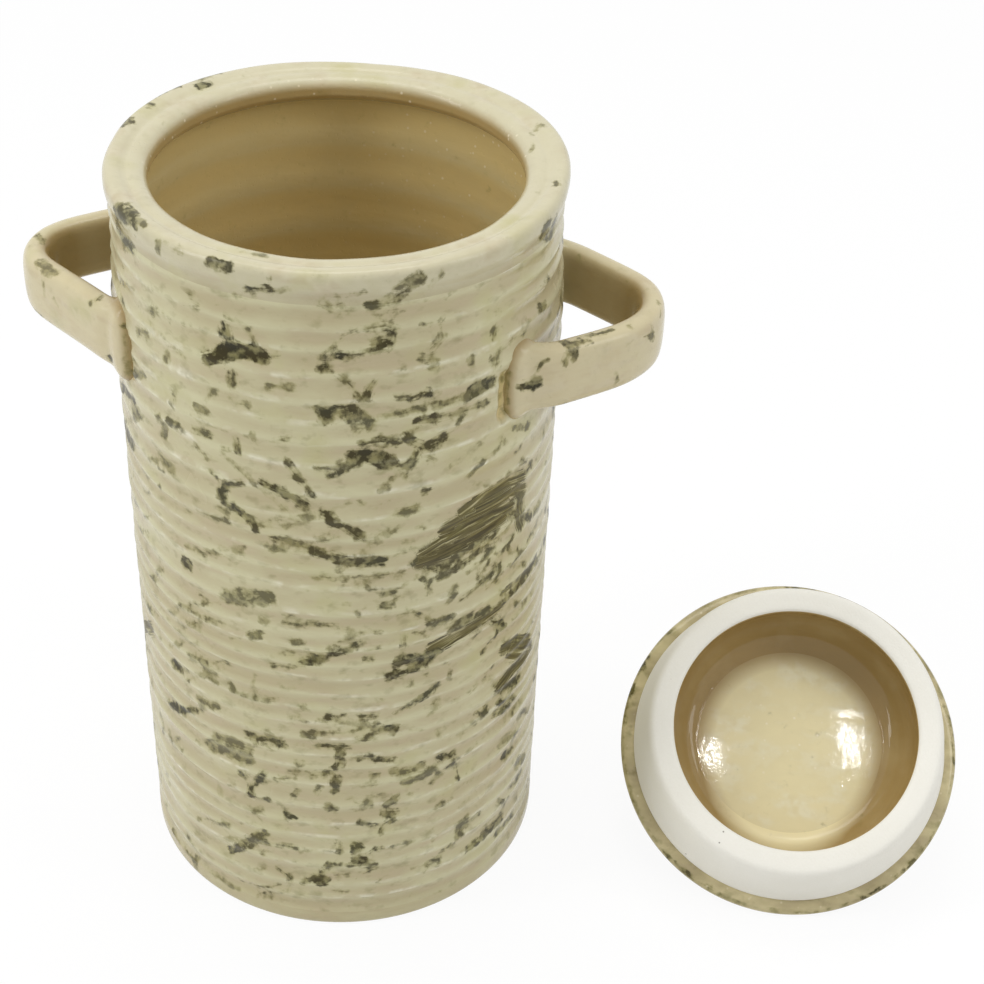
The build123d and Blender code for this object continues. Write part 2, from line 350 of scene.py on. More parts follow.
def glaze_shader(start, thick, thin, shade_and_pool_tone, gloss, stain_and_sheen, bumps):
    """Cream glaze over brush marks: the shader's output. thick and thin are its tones in the grooves and
    on the crests, and the tone after them is painted shade, with some thicker glaze, for insides,
    creases and the lip's inner face. gloss is its roughness, the share after it says how much the glaze
    is smudged and streaked all over and how bright the painted highlights on the crests are, and bumps
    how uneven it is. Painted glints, small pale dots, go where the mesh asks for them."""
    place = own_place(start)
    mottle = clouds(start, place, 60, 3)
    band = clouds(start, stretched(start, place, (1, 1, 3.5)), 70, 3)
    speck = clouds(start, place, 480, 2)
    blob = clouds(start, place, 190, 2)
    depth, ink, dark, comb, clean = (
        attribute(start, name) for name in ("depth", "ink", "dark", "comb", "clean")
    )
    bristle = attribute(start, "bristle", 1)
    hair = clouds(start, stretched(start, bristle, (0.06, 1.1, 1)), 1, 3)

    plain = 1 - clean * 0.8
    pooled = (depth * 0.9 + ((band - 0.5) * 1.2 + (mottle - 0.5) * 0.8) * plain).held()
    cream = pooled.mixed(thin, thick)
    cream = (((band - 0.52) * 2.6).held() * plain).mixed(cream, pinkish)
    cream = (((0.44 - mottle) * 3.5).held() * plain).mixed(cream, greenish)
    # Painted highlight: pale broken streaks along the crests, where a lamp would shine on the glaze.
    painted_crest_highlight = (1 - depth * 2.2).held() * ((band - 0.44) * 5).held() * ((blob - 0.4) * 6).held()
    cream = (painted_crest_highlight * (stain_and_sheen * 2.3)).held().mixed(cream, painted_highlight_tone)
    # Painted shade, with some thicker glaze: the glaze is browned inside the jar and the dish, in creases and
    # on faces turned away from the light.
    cream = (attribute(start, "warm") * (0.8 + 0.4 * mottle)).held().mixed(cream, shade_and_pool_tone)
    cream = ((0.5 - depth) * clean * (stain_and_sheen * 1.2)).held().mixed(cream, thin)

    ragged = ((blob - 0.5) * 1.9 + (speck - 0.5) * 1.3) * (1 - comb * 0.85)
    ragged = ragged + (hair - 0.5) * (0.5 + dark * 0.5 + comb * 3)
    worn = clouds(start, place, 330, 3)
    halo = ((ink + ragged * 0.7 - 0.22) * 1.9).held()
    laid = ((ink + ragged - 0.52 + dark * 0.2) * 2.6).held()
    laid = laid * (1.3 - ((worn - 0.38) * 4).held() * (0.95 - comb * 0.85)).held()
    core = ((ink * 0.9 + dark * 0.8 + ragged * 0.9 + (0.5 - worn) * 1.8 - 0.85) * 1.9).held()
    tint = clouds(start, place, 95, 1)
    wash = ((tint - 0.42) * 5).held().mixed(*thin_inks)
    body = ((tint - 0.46) * 6).held().mixed(*full_inks)
    body = comb.mixed(body, ((hair - 0.42) * 5).held().mixed(*combed_inks))
    cream = (halo * (0.3 + dark * 0.4)).held().mixed(cream, halo_tone)
    colour = (laid * (0.4 + dark * 0.58)).held().mixed(cream, core.mixed(wash, body))
    dirt = clouds(start, stretched(start, place, (1, 1, 1.8)), 170, 3)
    stain = ((dirt * 0.65 + blob * 0.35 - 0.54) * 6).held() * (1 - clean)
    colour = (stain * stain_and_sheen).mixed(colour, dirt_tone)

    # Painted glints: small pale dots where lamps would sparkle in the glaze.
    painted_glint_mask = ((0.16 - cells(start, place, 270)) * 11).held() * attribute(start, "glint")
    colour = painted_glint_mask.mixed(colour, painted_glint_tone)
    pit = (1 - cells(start, place, 520) * 5).held()
    relief = band * 1.4 + blob * 0.35 + speck * 0.3 - pit * 0.4
    normal = start.node("ShaderNodeBump", values={
        "Strength": 0.6, "Distance": 0.00028 * bumps, "Height": relief,
    })
    return start.node("ShaderNodeBsdfPrincipled", values={
        "Base Color": colour, "Roughness": gloss * (0.6 + mottle * 0.8) + laid * 0.08, "Normal": normal,
        "Specular IOR Level": 0.25,
    })


def glaze_paint(name, thick, thin, shade_and_pool_tone, gloss=0.14, stain_and_sheen=0.1, bumps=1):
    material, start = new_paint(name)
    shader = glaze_shader(start, thick, thin, shade_and_pool_tone, gloss, stain_and_sheen, bumps)
    start.node("ShaderNodeOutputMaterial", values={0: shader})
    return material


# The marks, each a width in millimetres, a strength, and points as degrees round the jar and
# millimetres over the table. The front's middle is at -90 degrees, the right handle at 0.
front_marks = [
    # under the rim, left of the middle
    (3, 0.9, (-100.3, 253), (-95, 254.3)), (2.4, 0.8, (-109.5, 260), (-106, 259.5)),
    (2.8, 0.7, (-117, 246), (-115, 246)), (1.6, 0.6, (-119.5, 240.5), (-114, 243), (-109.5, 245.5)),
    (2.4, 0.9, (-111, 245.6), (-109, 245.8)), (3.2, 0.9, (-107.5, 239.5), (-106, 235)),
    (5, 1, (-108, 230.5), (-104.5, 233.5), (-98, 232.5)), (2.4, 0.6, (-98, 233), (-94.5, 233.5)),
    (2.6, 0.5, (-106, 243), (-101, 240.5), (-99, 237)), (3.4, 1, (-112, 227), (-108.5, 229), (-105.5, 232)),
    (2.6, 0.7, (-105.3, 224.5), (-105, 221.5)), (2.6, 0.6, (-105, 202), (-104.6, 199)),
    (2.6, 0.6, (-117, 201), (-112.5, 201.5)), (1.8, 0.5, (-116, 210), (-113, 209.5)),
    (1.8, 0.5, (-104, 215.5), (-101.5, 216)), (1.4, 0.55, (-122, 211), (-124, 206)),
    (2, 0.6, (-126, 199), (-122.5, 199.3)), (2, 0.5, (-130.5, 198), (-129.5, 198.5)),
    (2.2, 0.5, (-127.5, 196), (-128.5, 192)), (1.2, 0.55, (-116, 195), (-113.5, 191.5)),
    (1.4, 0.5, (-112.5, 188.5), (-111, 186)), (3.2, 0.45, (-131, 183), (-127, 181.5)),
    (1.6, 0.75, (-92, 198), (-89.5, 193), (-87, 189), (-86, 187)),
    (2.8, 0.9, (-98, 189), (-94, 187), (-91, 186), (-88, 183)),
    (2.2, 0.8, (-110, 182), (-108, 185.5), (-104, 187.5)),
    (2.4, 0.85, (-110, 181), (-108.5, 178), (-105, 177), (-102, 174), (-100.5, 171)),
    (1.8, 0.4, (-96, 223.5), (-90, 223)), (1.6, 0.5, (-95, 205), (-92, 206.3)),
    (1.4, 0.4, (-126.5, 246), (-123, 248)), (1.4, 0.35, (-91.5, 246), (-90, 248.5)),
    (1.3, 0.5, (-100.5, 206), (-100.3, 204)), (1.6, 0.45, (-134, 239), (-130, 241)),
    # the left edge, half hidden by the handle
    (5.5, 0.75, (-144, 258), (-137, 262)), (4.5, 0.7, (-147, 252), (-139.5, 250)),
    (2.4, 0.65, (-148, 245), (-141, 247.5)), (2, 0.6, (-153, 231), (-143, 235), (-139, 236)),
    (2.2, 0.5, (-131, 233.5), (-126.5, 235.5)), (3, 0.5, (-137, 224), (-133.5, 224.5)),
    (2.2, 0.45, (-125, 220.5), (-124.3, 223)), (2.2, 0.7, (-152, 200), (-143, 205), (-136, 209)),
    (3.2, 0.6, (-144, 190), (-141, 192)), (2, 0.5, (-136, 178), (-133, 180)),
    (3.4, 0.6, (-154, 148), (-150, 150)), (1.8, 0.55, (-150, 141), (-146, 142), (-142, 145.5)),
    (3.2, 0.55, (-143, 126), (-140.5, 127.5)), (1.8, 0.5, (-140.5, 128), (-137, 134), (-135, 136)),
    (2, 0.45, (-150, 108), (-141, 111)),
    # under the rim, middle and right
    (1.5, 0.6, (-82.5, 254), (-73, 254.5)),
    (2.8, 0.75, (-72, 250.5), (-66, 252), (-62, 255), (-60.5, 257.5)), (2.2, 0.5, (-66, 255), (-61, 258)),
    (2.6, 0.5, (-79, 247.5), (-72, 247), (-65, 247)), (2.8, 0.5, (-83, 252), (-81, 249)),
    (2.4, 0.65, (-75.5, 242), (-79, 239.5), (-82, 235.5), (-83.5, 233)),
    (3, 0.95, (-72.5, 243), (-68.5, 243.5), (-65.5, 241.5), (-66.5, 238.5), (-71, 236.5), (-75.5, 235),
     (-80, 234.5)), (3.2, 0.7, (-71, 239.5), (-68, 240.5)), (3.2, 0.9, (-83.3, 231), (-82, 231)),
    (1.3, 0.65, (-78.5, 228), (-76, 224), (-74, 220.5)),
    (2.2, 0.85, (-71, 226), (-72.5, 223.5), (-73, 221.5)), (1.8, 0.55, (-59, 249), (-57, 247.5)),
    (2, 0.65, (-55.5, 247), (-53.5, 249)), (2, 0.8, (-51.8, 246.5), (-50.8, 246.3)),
    (2.2, 0.6, (-59, 241), (-55, 241.5), (-54.3, 243)), (2, 0.6, (-62, 235), (-60, 235.5)),
    (2.8, 0.75, (-56.5, 233.5), (-54, 236), (-54, 239)), (2, 0.6, (-60, 231.5), (-56, 230.5)),
    (1.8, 0.5, (-57.5, 228.4), (-56.8, 227.6)), (2.6, 0.95, (-62, 219), (-59, 220), (-57.5, 218.5)),
    (2, 0.6, (-65.5, 220), (-63, 219.5)), (2, 0.6, (-62.5, 215), (-59, 214.5)),
    (2.6, 0.95, (-60.5, 211), (-56.5, 210.4)), (1.8, 0.6, (-57, 210.3), (-49, 210), (-41, 209.5)),
    (2.6, 0.5, (-53, 214.5), (-46, 215)), (3.4, 0.85, (-46, 215.3), (-40, 216.5)),
    (3.8, 0.9, (-82.5, 215), (-79, 216.5), (-77, 217)),
    (2.2, 0.65, (-77, 214), (-74, 215.5), (-72, 213), (-73, 211)), (1.6, 0.6, (-85, 217.5), (-83, 213)),
    (3, 0.85, (-73.5, 205.5), (-70, 206), (-66, 204.5)), (3.8, 0.95, (-76, 201), (-71, 200.5), (-68, 198)),
    (2, 0.8, (-79.5, 196.5), (-75.5, 199), (-72, 200)), (1.6, 0.8, (-82.3, 193.5), (-79, 196.5)),
    (2.6, 0.85, (-63.5, 206), (-61.5, 203), (-59, 201), (-53, 202.5)),
    (2.8, 0.75, (-67.5, 199), (-66, 196), (-63, 195.5), (-61, 199.5)),
    (1.6, 0.55, (-64.8, 194), (-64, 191.5)), (1.6, 0.55, (-57.7, 197), (-55.5, 195)),
    (2.4, 0.65, (-38.3, 234), (-39.3, 231)), (2, 0.45, (-38, 238.3), (-36.8, 237.8)),
    (2.6, 0.65, (-38.6, 221.5), (-37.6, 225)), (1.3, 0.65, (-40, 224), (-33, 226), (-27, 226)),
    (1.8, 0.5, (-46.7, 227), (-46.3, 225)), (2, 0.75, (-36, 208.4), (-35, 207.6)),
    (1.6, 0.65, (-28.5, 244), (-25, 247), (-19, 248.5)), (6, 0.65, (-20, 255), (-14, 252.5)),
    (1.6, 0.85, (-26.2, 231), (-26, 236), (-20, 238.3), (-13, 235.5)), (3, 0.85, (-20, 230), (-17.6, 229)),
    (1.6, 0.5, (-36, 194), (-34, 190.5)), (2.2, 0.5, (-30, 194), (-25, 191)),
    (2, 0.6, (-26.3, 179), (-24, 177)), (2.2, 0.85, (-59, 184.5), (-58, 184.5)),
    (2, 0.7, (-75, 184.5), (-74, 183.5)), (2.6, 0.55, (-65.5, 179), (-61, 179.7)),
    (1.5, 0.5, (-69.5, 189), (-68.3, 188.8)), (3.2, 0.9, (-83.6, 180.5), (-82.4, 180)),
    (2.8, 0.85, (-82, 178), (-78, 175), (-75.5, 172.5)),
    # the broad smear on the right
    (4.2, 0.85, (-47, 172), (-40, 174.5), (-32, 174.5), (-26, 172.5)), (1.8, 0.7, (-26, 172.5), (-21, 174)),
    (4.4, 0.85, (-52, 168.5), (-45, 170.5), (-38, 170), (-30, 169.5), (-25, 167.5)),
    (4.6, 0.9, (-58, 161.5), (-54, 163.5), (-46, 165.3), (-38, 165.7), (-31, 164.5)),
    (2, 0.7, (-61.5, 158.7), (-58, 161)),
    (4.4, 0.9, (-59, 158.5), (-56, 159), (-50, 160), (-42, 161), (-33, 162)),
    (3.2, 0.8, (-57, 155.5), (-51, 155.3), (-46, 157), (-40, 159)),
    (2.8, 0.8, (-54, 151), (-50, 152), (-44, 153.5), (-39, 155.5), (-36, 158.3)),
    (1.3, 0.65, (-63.5, 151), (-60.5, 153.3), (-58, 151)), (1.7, 0.6, (-56.5, 150.5), (-57, 146)),
    (4, 0.75, (-28, 170), (-26, 165), (-26, 158), (-25, 153)),
    (2.8, 0.7, (-31, 162), (-24, 156), (-20, 152.5)), (3, 0.65, (-17, 152), (-14.5, 152)),
    (1.6, 0.65, (-45, 148), (-40, 151), (-34, 154), (-30, 157)),
    # scratchy lines below the smear
    (2.2, 0.75, (-47, 138), (-43, 139.5), (-40, 142)), (1.6, 0.6, (-51.5, 138.5), (-49, 141.3)),
    (1.5, 0.6, (-41.5, 144), (-38, 147.5)), (1.7, 0.75, (-40, 139), (-36, 143.5), (-32, 149), (-29, 151)),
    (1.7, 0.7, (-38, 137), (-33, 139), (-30, 137.3), (-26, 138)),
    (1.6, 0.7, (-31, 149), (-29, 145), (-26, 144)), (1.3, 0.65, (-36, 150.5), (-33.3, 146), (-34, 141)),
    (1.6, 0.65, (-30, 140.5), (-25, 136.5), (-21, 134)),
    # the long streak from the lower left to the right edge
    (3.6, 0.95, (-67, 114.3), (-63, 115.3), (-59, 117), (-54, 120.5)),
    (3.2, 0.9, (-65, 120), (-60, 119.3), (-56, 121), (-50, 123.3)),
    (4.2, 0.95, (-55, 122), (-48, 124), (-40, 125), (-33, 125.3)),
    (3, 0.85, (-33, 125.5), (-28, 127), (-20, 128.5), (-13, 129.5)),
    (2.6, 0.75, (-50, 127), (-45, 129), (-41, 128.3), (-36, 126.7)),
    (2.6, 0.8, (-32, 131), (-22, 130.5), (-13, 130)),
    (1.6, 0.8, (-60, 138), (-57, 135), (-54, 132.3), (-51, 131.7)), (2, 0.75, (-57, 133), (-50, 132.7)),
    (1.7, 0.65, (-60, 131), (-57, 128.5)), (1.7, 0.65, (-63.6, 130.5), (-63.2, 125)),
    (1.3, 0.45, (-63, 141), (-60, 138.3)), (1.7, 0.65, (-69.5, 148.5), (-66, 148.8)),
    (1.9, 0.7, (-70, 144.5), (-67, 143.7)), (1.5, 0.5, (-71, 146.5), (-70, 145.3)),
    (1.4, 0.6, (-78.4, 145.7), (-77.5, 145.5)), (1.3, 0.5, (-76, 143), (-75, 141)),
    (1.6, 0.65, (-87, 156), (-80, 155.7), (-72, 156), (-64, 156)), (1.6, 0.45, (-60.5, 172), (-58.7, 172)),
    (1.8, 0.75, (-72, 168.5), (-71, 168.3)), (1.7, 0.55, (-85, 137.5), (-81, 137)),
    (1.7, 0.5, (-73, 136), (-70, 133.5)), (2.7, 0.75, (-73, 123.6), (-72, 123.3)),
    (1.6, 0.55, (-60, 111.5), (-57, 111.5)), (1.2, 0.55, (-50, 110), (-50, 106)),
    (1.7, 0.75, (-65, 98), (-62, 100), (-59, 102), (-55, 104.3), (-53.5, 106)),
    (2.2, 0.85, (-83.5, 98.3), (-80, 99.3)), (1.7, 0.75, (-75, 99), (-70, 99)),
    (1.4, 0.65, (-74.4, 96.3), (-73.6, 96)), (2.7, 0.9, (-69.5, 92), (-65.5, 92)),
    (1.6, 0.75, (-75.5, 88.5), (-71, 91)), (2.2, 0.6, (-90, 90.5), (-86, 91.5), (-83, 92)),
    # middle of the front, between the two hooks
    (2.7, 0.85, (-96.5, 169.5), (-93, 169), (-89, 167.5), (-84, 166)),
    (3, 0.85, (-85, 165.5), (-80, 163.3), (-74, 162), (-69, 162)),
    (3.8, 0.9, (-123.8, 146.5), (-122.8, 146.5)), (1.8, 0.6, (-123, 154.5), (-118, 155), (-112, 157.5)),
    (5.2, 0.5, (-110, 141), (-104, 144), (-99, 145.5)), (2.2, 0.95, (-105.6, 141.5), (-103, 143)),
    (2.6, 0.7, (-103.7, 128.3), (-101.5, 130)), (2, 0.65, (-94, 137), (-88, 137.3), (-82, 137.3)),
    (1.7, 0.6, (-98, 118), (-93, 119), (-89.5, 120.5)),
    (3, 0.95, (-89.5, 121.7), (-86, 123.5), (-82, 125.3)),
    (2, 0.75, (-82, 125.3), (-78, 127.3), (-75, 130)), (1.6, 0.5, (-92, 129.5), (-90, 130)),
    (3.6, 0.9, (-133, 97.7), (-130.5, 98)), (1.8, 0.6, (-131, 98.3), (-126.5, 99.3)),
    (2.4, 0.5, (-125, 108), (-118, 109), (-112, 113)), (3, 0.4, (-120, 107), (-116, 106)),
    (1.3, 0.5, (-103.5, 111), (-104, 106), (-103, 102)), (1.6, 0.45, (-111, 105), (-110, 102.5)),
    (2.8, 0.5, (-122.5, 91), (-118, 91), (-116, 92.5)), (1.4, 0.4, (-110, 124), (-107, 125.5)),
    (1.5, 0.45, (-107, 161), (-105, 161.5)),
    # hooks and the dark cluster at the right edge
    (2, 0.8, (-35.5, 121), (-33.5, 117), (-34, 113.5), (-38, 110.7)),
    (3, 0.9, (-35, 121), (-32, 118), (-30.5, 116)), (1.6, 0.55, (-29, 113), (-27.5, 111.5)),
    (1.6, 0.5, (-25, 120.5), (-21, 118)), (4, 0.85, (-30, 106), (-25, 104), (-20, 100), (-15, 97)),
    (5.2, 0.9, (-26, 101), (-20, 96), (-14, 92)), (4.2, 0.95, (-31, 90), (-25, 92), (-18, 91), (-13, 91)),
    (2, 0.6, (-34, 93.5), (-31, 91)), (3.6, 0.85, (-32, 88), (-25, 86), (-20, 84)),
    (1.5, 0.45, (-38, 98), (-35, 96)), (2.2, 0.85, (-33, 79), (-29, 77.3), (-24, 76)),
    (2, 0.85, (-31, 83), (-26, 80), (-22, 76.7)), (2.4, 0.75, (-39.5, 85), (-37.7, 82.5), (-36.5, 84)),
    (2, 0.45, (-46, 79), (-41, 80)), (1.4, 0.45, (-53, 85), (-52.6, 82)),
    # lower left
    (3.2, 0.9, (-137.5, 75.5), (-134, 78), (-129.5, 80.5)),
    (2.2, 0.75, (-129.5, 80.5), (-124, 84), (-121, 88)),
    (5.2, 0.5, (-119, 72), (-115, 75), (-110, 73), (-107, 74)),
    (4.4, 0.5, (-116, 77.5), (-111, 79), (-107, 79)), (2.2, 0.55, (-106.5, 78), (-106, 73.5)),
    (1.1, 0.55, (-124.5, 70), (-120, 72)), (3.8, 0.8, (-106.5, 85.3), (-103, 84.7), (-97, 85.3)),
    (2.2, 0.75, (-106.3, 87), (-104, 82)), (3.2, 0.85, (-99, 86), (-96.3, 84.5)),
    (1.2, 0.65, (-96, 85.5), (-88, 86), (-80, 85.3)), (2.7, 0.75, (-109, 65.2), (-108, 64.8)),
    (2.5, 0.8, (-101.5, 69.7), (-103.5, 66), (-106, 61)), (3, 0.9, (-106, 61), (-106.6, 57)),
    (1.7, 0.65, (-108.5, 56), (-106, 56.2), (-101, 57)), (1.6, 0.75, (-98.5, 69), (-95, 70), (-93.5, 70.7)),
    (1.9, 0.6, (-94, 72.5), (-90, 73)), (2.1, 0.9, (-88, 72.7), (-84, 73.5), (-82, 75)),
    (2.1, 0.65, (-87.5, 64), (-86, 67)), (1.6, 0.55, (-94, 62), (-92.5, 64.5)),
    (2.5, 0.8, (-95.6, 53), (-94, 51.7)), (1.6, 0.5, (-98, 57), (-96, 56)),
    (1.6, 0.5, (-105.5, 48), (-104, 46.5)), (1.6, 0.55, (-134.5, 63), (-136, 60.5)),
    (1.6, 0.6, (-146, 54), (-143.5, 58.5)), (2, 0.5, (-140, 60.5), (-139, 57)),
    (3.2, 0.4, (-117.5, 53.5), (-117, 52)), (1.6, 0.45, (-114, 57), (-112, 58.5)),
    (3.4, 0.65, (-102.5, 41), (-105, 38), (-108, 33)),
    (3.8, 0.75, (-107.5, 34.5), (-110, 30.5), (-112.5, 27), (-114.5, 25.3)),
    (2, 0.55, (-104, 36), (-99, 37), (-94, 37.5)), (1.3, 0.55, (-103.5, 30), (-102, 32.7)),
    (1.9, 0.65, (-99.5, 24.5), (-96, 22), (-95, 19.5), (-96.5, 15)),
    (1.7, 0.65, (-96.5, 15), (-99.5, 12), (-103, 10.5), (-106, 8)),
    (2.1, 0.55, (-133, 15.5), (-130.5, 14), (-129, 11), (-130, 6), (-130, 3)),
    # low middle and low right
    (2.3, 0.85, (-86, 85.5), (-81, 85.3), (-78, 86)), (1.6, 0.7, (-78, 86), (-75, 88), (-72, 89)),
    (2.6, 0.8, (-80.6, 84), (-80.6, 78), (-82, 76), (-85, 73)), (3, 0.75, (-82, 72), (-82, 66)),
    (2.3, 0.85, (-77, 80.5), (-73, 80), (-66, 78.5)), (2.3, 0.75, (-71.6, 72), (-70.4, 72)),
    (3, 0.55, (-66, 72), (-62, 71), (-58, 72)), (3.6, 0.5, (-62, 66), (-57, 67), (-54, 68)),
    (2, 0.4, (-77, 67), (-71, 67.5)), (2.7, 0.9, (-51.5, 73), (-49, 71), (-48, 72)),
    (2.1, 0.75, (-50, 67), (-48, 67.5)), (1.4, 0.5, (-50, 70), (-48, 68)),
    (2.1, 0.55, (-55, 62), (-52, 64), (-53, 66)), (1.3, 0.75, (-47, 64), (-46.5, 58)),
    (1.8, 0.5, (-78.5, 62), (-76.5, 63)), (3.2, 0.85, (-83.8, 58), (-82.8, 57.5)),
    (1.6, 0.5, (-78, 56), (-72, 57)), (1.4, 0.75, (-76, 50.7), (-71, 48.7)),
    (3.2, 0.75, (-65, 60), (-68, 57), (-68.5, 53.5), (-65.5, 53)),
    (1.8, 0.75, (-66, 50), (-68, 48), (-69.5, 45)), (1.6, 0.65, (-63, 61), (-61, 60.5)),
    (2.1, 0.55, (-53, 50), (-51, 50.5)), (3.6, 0.55, (-29, 62), (-25, 61), (-20, 58)),
    (3.2, 0.65, (-18, 64), (-13, 62)), (2.9, 0.8, (-26.5, 53.5), (-23, 52)),
    (1.7, 0.65, (-43, 54), (-38, 53.5)), (4, 0.65, (-45, 30.5), (-44.5, 35)),
    (2.4, 0.6, (-44, 33.5), (-38, 35)), (1.8, 0.5, (-44, 36), (-41.5, 38)),
    (2.3, 0.7, (-55.5, 23), (-52, 24), (-50, 27), (-48, 28)),
    (2.9, 0.8, (-40.5, 21), (-36, 22), (-30, 23), (-26, 22.5)),
    (2.6, 0.55, (-28, 23), (-25, 26), (-23, 29)), (2, 0.45, (-36, 26), (-30, 26.5)),
    (2.5, 0.65, (-28, 17), (-24, 17), (-19, 17)), (2.3, 0.75, (-28.5, 34), (-26, 31)),
    (2.6, 0.6, (-21, 33), (-14, 33)), (4.2, 0.55, (-18, 42), (-13, 38)),
    (2.1, 0.75, (-81, 40.5), (-81, 36)), (2.1, 0.8, (-77, 40.5), (-75, 38), (-77, 37.5)),
    (1.7, 0.65, (-83, 31), (-80, 31), (-76, 30.5), (-71, 30)), (4.4, 0.95, (-76, 32.5), (-74.8, 32.5)),
    (2.1, 0.85, (-74, 34), (-71, 37), (-69, 37)), (1.9, 0.8, (-82, 24), (-76, 25), (-71, 28)),
    (1.5, 0.45, (-83, 17.5), (-79, 17)), (2.1, 0.65, (-91.5, 20), (-90.5, 22)),
    (2.6, 0.75, (-90, 22), (-87, 25), (-85, 28), (-84, 31)), (4.2, 0.95, (-87, 22), (-86, 22.3)),
]


def scattered_marks(seed, count, angles, heights, widths=(1.3, 4.4), strengths=(0.45, 0.95)):
    """More marks of the same hand, for the small smudges and for a side that the photograph hides."""
    rolls = random.Random(seed)
    marks = []
    for number in range(count):
        points = [(rolls.uniform(*angles), rolls.uniform(*heights))]
        long = rolls.random() < 0.3
        slope = rolls.gauss(0.35, 0.5)
        step = rolls.uniform(2.5, 5) if long else rolls.uniform(0.6, 2)
        for bend in range(4 if long else 2):
            points.append((points[-1][0] + step, points[-1][1] + step * slope + rolls.gauss(0, 0.7)))
        marks.append((rolls.uniform(*widths), rolls.uniform(*strengths), *points))
    return marks


back_marks = scattered_marks(12, 250, (-8, 200), (8, 250)) + scattered_marks(
    7, 420, (-8, 194), (5, 252), (0.6, 1.9), (0.2, 0.7)
)
small_marks = scattered_marks(5, 260, (-168, -10), (6, 252), (0.6, 1.8), (0.2, 0.6))
# Faint strokes down the creases beside the tabs: painted shade.
crease_shade_marks = [
    (2.3, 0.3, (-35, 215.5), (-35.3, 209), (-35, 202)), (2.3, 0.3, (35, 215), (35.3, 202)),
    (2, 0.3, (-144.2, 218), (-144, 211), (-144.3, 204)), (2, 0.3, (144.2, 218), (144, 204)),
]
jar_strokes = round_jar(front_marks + back_marks + small_marks + crease_shade_marks)

wall_form = turned(
    [
        (foot_radius, wall_foot),
        (foot_radius, wall_top),
        (bore_radius, wall_top),
        (bore_foot_radius, wall_foot + bore_cove),
        (bore_foot_radius - 0.15 * bore_cove, wall_foot + 0.5 * bore_cove),
        (bore_foot_radius - 0.5 * bore_cove, wall_foot + 0.15 * bore_cove),
        (bore_foot_radius - bore_cove, wall_foot),
        (foot_radius, wall_foot),
    ],
    (200, 1, 44, 1, 1, 1, 1), front_steps, back_steps,
)
wall = mesh_object(wall_form, "ringed_wall")
wall_places = places_of(wall.data)
wall_reach, wall_angle = around(wall_places)
wall_height = wall_places[:, 2]
on_skin = wall_reach > skin_reach
outside = on_skin & (wall_height > wall_foot + 0.01)
inside = ~on_skin & (wall_height > wall_foot + bore_cove - 0.1) & (wall_height < wall_top - 0.1)
crease = np.zeros(len(wall_places))
crease_half_height, crease_width, crease_depth = 6.5, 1.9, 1.2
mm_per_degree = 1.213
for angle, height in ((-35.4, 208.5), (35.4, 208.5), (-144, 211), (144, 211)):
    away = (wall_angle - math.radians(angle) + math.pi) % (2 * math.pi) - math.pi
    past = np.maximum(np.abs(wall_height - height) - crease_half_height, 0)
    beside = np.hypot(np.degrees(away) * mm_per_degree, past)
    crease = np.maximum(crease, held(1.5 - beside / crease_width))
sunk = np.where(outside, groove_depth(wall_angle, wall_height) + crease_depth * crease, 0)
inside_wave = np.cos(2 * math.pi * (wall_height + 1.5 * wall_angle / math.pi) / inside_ring_pitch)
grown = np.where(inside, inside_ring_depth * inside_wave * (1 + 0.4 * waver(wall_angle, wall_height, 5)), 0)
wall_reach_new = np.where(outside, crest_radius(wall_height) - sunk, wall_reach + grown)
wall_places[:, :2] *= (wall_reach_new / wall_reach)[:, None]
set_places(wall.data, wall_places)
# Painted glints inside the mouth, on the right-hand side and high up.
painted_glint_side = held(np.cos(wall_angle - math.radians(35)) * 1.6 - 0.5)
# Inside the jar and in the creases by the tabs the glaze is browned as painted shade.
store(
    wall.data,
    depth=np.where(outside, sunk / 0.75, np.where(inside, 0.5 + 0.4 * inside_wave, 0.6)),
    warm=np.where(on_skin, 0.75 * crease, 0.9 + 0.1 * inside_wave),
    clean=np.where(on_skin, 0, 1),
    glint=np.where(inside, 0.6 * painted_glint_side * held((wall_height - 150) / 60), 0),
)
brush(wall.data, jar_strokes)
jar_thick, jar_thin, jar_gloss = tone(192, 181, 144), tone(211, 206, 168), 0.24
wall.data.materials.append(
    glaze_paint("jar_glaze", jar_thick, jar_thin, tone(219, 197, 137), jar_gloss, 0.42)
)
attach(wall, "jar")
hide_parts("jar_wall")

# Mouth rim: the wall's top rolled outwards and pressed flat with a wet leather, so that it is thick
# and smooth. A shallow groove runs round its top, and its lip overhangs the inside.
rim_outline = [
    (62, 250.6), (68.15, 250.6), (68.2, 252), (68.3, 253.2), (68.55, 254.4), (68.85, 255.6),
    (69.05, 256.8), (69.05, 258.1), (68.95, 259.2), (68.55, 260.1), (67.85, 260.75), (67, 261),
    (65.6, 260.95), (64.3, 260.7), (63.3, 260.2), (62.4, 259.95), (61.4, 260.15), (60.2, 260.15),
    (58.9, 259.9), (57.8, 259.45), (56.9, 258.7), (56.4, 257.8), (56.2, 256.8), (56.25, 254.4),
    (56.8, 253.3), (57.8, 252.3), (59.5, 251.3), (62, 250.6),
]
rim_cuts = [1] * 22 + [5] + [1] * 4
rim_form = turned(rim_outline, rim_cuts, front_steps, back_steps)
rim = mesh_object(rim_form, "rolled_rim")
rim_places = places_of(rim.data)
rim_reach, rim_angle = around(rim_places)
rim_height = rim_places[:, 2]
rings_end, rings_fade = 251, 4.5
back_corners = 1.9                              # how far the rim bulges at the back's two corners
blend = eased((rim_height - rings_end) / rings_fade)
ringed = crest_radius(rim_height) - groove_depth(rim_angle, rim_height)
rim_reach_new = np.where(rim_reach > 66, ringed * (1 - blend) + rim_reach * blend, rim_reach)
